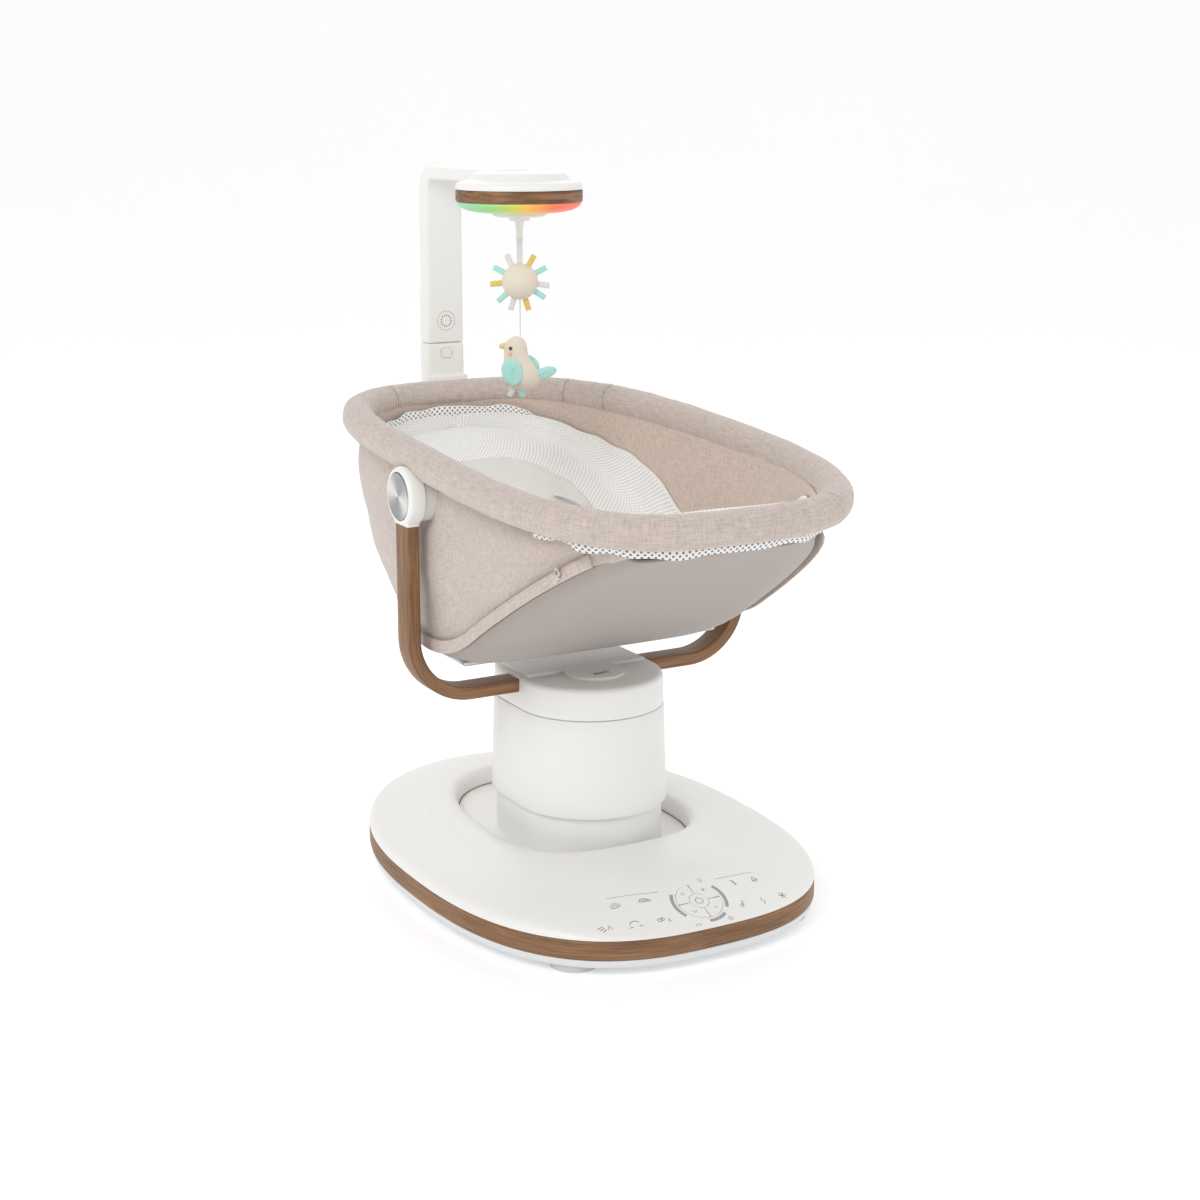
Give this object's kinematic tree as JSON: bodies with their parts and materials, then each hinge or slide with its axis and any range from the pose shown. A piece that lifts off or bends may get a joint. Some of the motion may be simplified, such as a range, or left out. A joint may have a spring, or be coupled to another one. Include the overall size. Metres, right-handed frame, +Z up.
{
  "type": "baby swing",
  "caption": "Bassinet swing: padded bassinet on a wooden yoke and lifting column over a low base with a touch panel, and a lift-off mobile with a lamp and hanging toys.",
  "frame": {"origin": "on the floor under the column's middle, the centre of the outer box's bottom", "axes": "+X across, +Y towards the head end and the mobile's post, +Z up"},
  "size_m": [0.507, 0.831, 0.921],
  "materials": {
    "white_shell": "satin white moulded plastic",
    "white_key": "smooth white keys",
    "inner_plastic": "unpainted moulded gears and fittings",
    "dark_plastic": "dark motor and speaker cases",
    "grey_light": "grey light bars",
    "board": "green circuit board",
    "walnut": "walnut veneer, satin lacquer",
    "foot_rubber": "pale grey rubber",
    "steel": "ground steel rods and tube",
    "screw_steel": "zinc plated screws",
    "brushed_disc": "radially brushed metal",
    "bush": "sintered bearing bush",
    "latch_gold": "gold brown catch",
    "linen": "beige linen weave, padded",
    "taupe_cloth": "smooth taupe cloth over a shell",
    "white_mesh": "white 3D mesh cloth",
    "grey_mesh": "pale grey mesh insert",
    "glow": "translucent coloured light diffuser",
    "ribbon_white": "white woven ribbon",
    "felt_cream": "cream plush",
    "ribbon_mix": "yellow, teal and white ribbon loops",
    "felt_teal": "teal plush"
  },
  "bodies": {
    "base": {"base_cover": "white_shell", "base_pan": "white_shell", "wood_band": "walnut", "base_feet": "foot_rubber", "base_screws": "screw_steel", "slide_rails": "steel", "slide_motor": "dark_plastic", "control_board": "board", "light_arcs": "grey_light", "dc_inlet": "dark_plastic"},
    "power_key": {"power_button": "white_key"},
    "motion_up_key": {"motion_up_button": "white_key"},
    "motion_down_key": {"motion_down_button": "white_key"},
    "volume_up_key": {"volume_up_button": "white_key"},
    "volume_down_key": {"volume_down_button": "white_key"},
    "slide_gear": {"slide_pinion": "inner_plastic"},
    "carriage": {"carriage_plate": "white_shell", "rail_bushes": "bush", "slide_rack": "inner_plastic", "lower_column": "white_shell", "guide_rods": "steel", "lift_motor": "dark_plastic"},
    "lift_gear": {"lift_pinion": "inner_plastic"},
    "lift": {"upper_column": "white_shell", "column_cap": "white_shell", "lift_bushes": "bush", "lift_rack": "inner_plastic", "yoke_bracket": "white_shell", "yoke_arms": "walnut", "arm_bolts": "screw_steel", "hub_housings": "white_shell"},
    "latch": {"release_latch": "latch_gold"},
    "hub_key_left": {"hub_button_left": "brushed_disc"},
    "hub_key_right": {"hub_button_right": "brushed_disc"},
    "bassinet": {"pivot_hubs": "white_shell", "rim_frame": "steel", "rim_sleeve": "linen", "side_fabric": "linen", "seat_shell": "taupe_cloth", "liner": "white_mesh", "insert_pad": "grey_mesh", "under_frame": "steel", "post_mount": "white_shell"},
    "zip": {"zip_pull": "steel"},
    "post_key": {"post_button": "white_key"},
    "mobile": {"post_shell": "white_shell", "post_back": "white_shell", "lamp_top": "white_shell", "lamp_ring": "walnut", "light_diffuser": "glow", "lamp_plate": "white_shell", "speaker": "dark_plastic", "spin_motor": "dark_plastic"},
    "spinner": {"spinner_hub": "white_shell"},
    "toys": {"toy_ribbon": "ribbon_white", "sun_ball": "felt_cream", "sun_tabs": "ribbon_mix", "bird_cord": "ribbon_white", "bird_body": "felt_cream", "bird_wings": "felt_teal"}
  },
  "joints": [
    {"name": "power_press", "type": "slide", "parent": "base", "child": "power_key", "axis": [0, 0.3746, -0.9272], "range_m": [0, 0.0008], "stiffness_N_per_m": 900},
    {"name": "motion_up_press", "type": "slide", "parent": "base", "child": "motion_up_key", "axis": [0, 0.3746, -0.9272], "range_m": [0, 0.0008], "stiffness_N_per_m": 900},
    {"name": "motion_down_press", "type": "slide", "parent": "base", "child": "motion_down_key", "axis": [0, 0.3746, -0.9272], "range_m": [0, 0.0008], "stiffness_N_per_m": 900},
    {"name": "volume_up_press", "type": "slide", "parent": "base", "child": "volume_up_key", "axis": [0, 0.3746, -0.9272], "range_m": [0, 0.0008], "stiffness_N_per_m": 900},
    {"name": "volume_down_press", "type": "slide", "parent": "base", "child": "volume_down_key", "axis": [0, 0.3746, -0.9272], "range_m": [0, 0.0008], "stiffness_N_per_m": 900},
    {"name": "side_slide", "type": "slide", "parent": "base", "child": "carriage", "axis": [1, 0, 0], "range_m": [-0.03, 0.03]},
    {"name": "slide_gear_spin", "type": "hinge", "parent": "base", "child": "slide_gear", "pos_m": [0, 0.046, 0.046], "axis": [0, 0, 1], "range_deg": [-120, 120]},
    {"name": "lift_slide", "type": "slide", "parent": "carriage", "child": "lift", "axis": [0, 0, 1], "range_m": [-0.04, 0]},
    {"name": "lift_gear_spin", "type": "hinge", "parent": "carriage", "child": "lift_gear", "pos_m": [-0.004, 0, 0.1495], "axis": [0, 1, 0], "range_deg": [-160, 160]},
    {"name": "latch_slide", "type": "slide", "parent": "lift", "child": "latch", "axis": [0, 1, 0], "range_m": [0, 0.005], "stiffness_N_per_m": 300},
    {"name": "hub_press_left", "type": "slide", "parent": "lift", "child": "hub_key_left", "axis": [1, 0, 0], "range_m": [0, 0.003], "stiffness_N_per_m": 800},
    {"name": "hub_press_right", "type": "slide", "parent": "lift", "child": "hub_key_right", "axis": [-1, 0, 0], "range_m": [0, 0.003], "stiffness_N_per_m": 800},
    {"name": "recline", "type": "hinge", "parent": "lift", "child": "bassinet", "pos_m": [0, 0, 0.535], "axis": [1, 0, 0], "range_deg": [-10, 10]},
    {"name": "zip_swing", "type": "hinge", "parent": "bassinet", "child": "zip", "pos_m": [-0.18205, -0.28272, 0.48829], "axis": [1, 0, 0], "range_deg": [-30, 30]},
    {"name": "post_press", "type": "slide", "parent": "bassinet", "child": "post_key", "axis": [0, 1, 0], "range_m": [0, 0.0015], "stiffness_N_per_m": 900},
    {"name": "mobile_lift_off", "type": "slide", "parent": "bassinet", "child": "mobile", "axis": [0, 0, 1], "range_m": [0, 0.06]},
    {"name": "mobile_spin", "type": "hinge", "parent": "mobile", "child": "spinner", "pos_m": [0, 0.158, 0.8557], "axis": [0, 0, 1], "continuous": true},
    {"name": "toy_swing", "type": "hinge", "parent": "spinner", "child": "toys", "pos_m": [0, 0.158, 0.8357], "axis": [1, 0, 0], "range_deg": [-13, 13]}
  ],
  "couplings": [
    {"joint": "slide_gear_spin", "follows": "side_slide", "rad_per_m": 62.5},
    {"joint": "lift_gear_spin", "follows": "lift_slide", "rad_per_m": 62.5}
  ]
}
